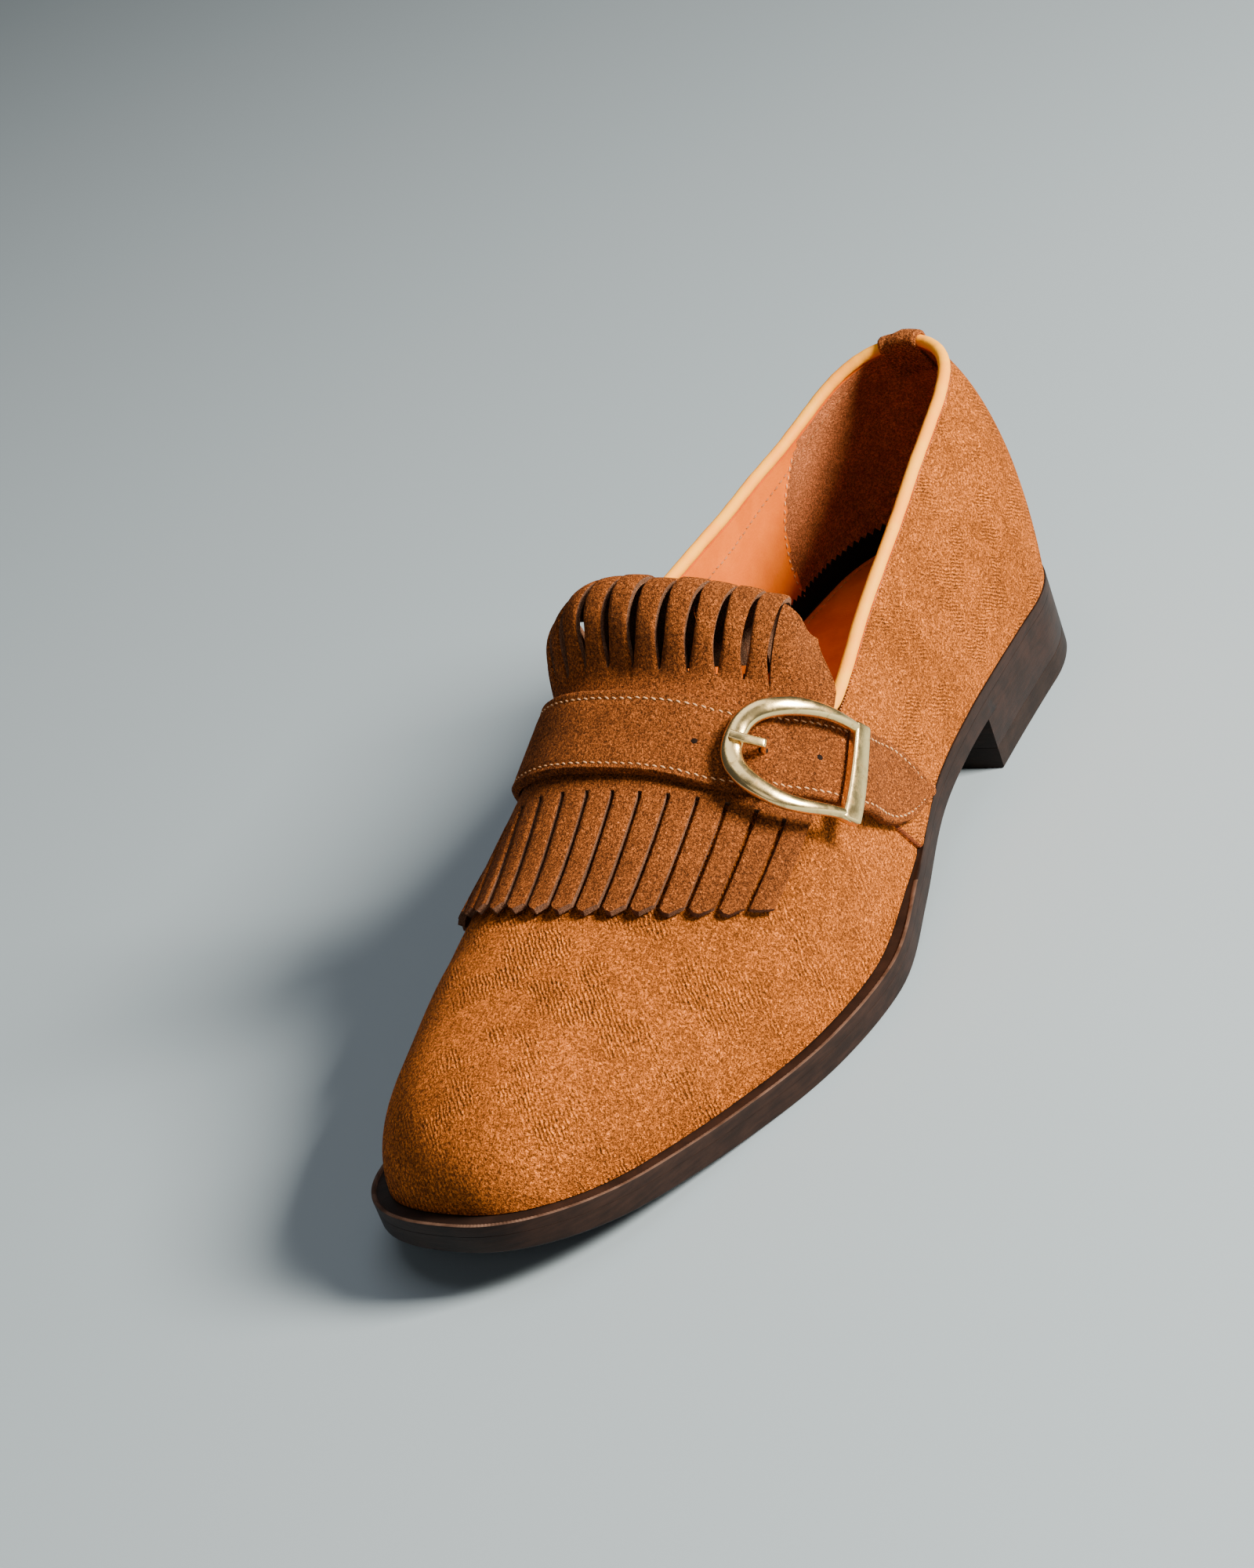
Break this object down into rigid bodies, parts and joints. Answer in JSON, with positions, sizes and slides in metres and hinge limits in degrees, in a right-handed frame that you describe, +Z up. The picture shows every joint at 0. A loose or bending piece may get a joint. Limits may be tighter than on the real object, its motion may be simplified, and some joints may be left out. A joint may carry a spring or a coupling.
{
  "type": "kiltie loafer",
  "caption": "Left suede loafer with a fringed kiltie, a buckled strap over the instep, a rolled collar and a low stacked heel.",
  "frame": {"origin": "on the floor, under the middle of the whole shoe's bounding box", "axes": "+X from heel to toe, +Y to the outer side of the left foot, +Z up"},
  "size_m": [0.3052, 0.1016, 0.1029],
  "materials": {
    "suede": "napped suede, cognac tan",
    "dark_suede": "napped suede, slightly browner",
    "lining_leather": "smooth leather, light tan, soft sheen",
    "sole_edge": "smooth dressed edge, dark brown, low sheen",
    "top_lift": "matt moulded rubber",
    "insole_board": "matt black fibre board",
    "antique_brass": "worn antique brass, half gloss"
  },
  "bodies": {
    "root": {"outsole": "sole_edge", "welt": "sole_edge", "heel_block": "sole_edge", "top_lift": "top_lift", "insole": "insole_board", "sock_lining": "lining_leather", "upper": "suede", "collar_piping": "lining_leather", "backstay": "suede", "kiltie": "dark_suede", "strap": "dark_suede", "buckle_frame": "antique_brass", "buckle_prong": "antique_brass"}
  },
  "joints": []
}
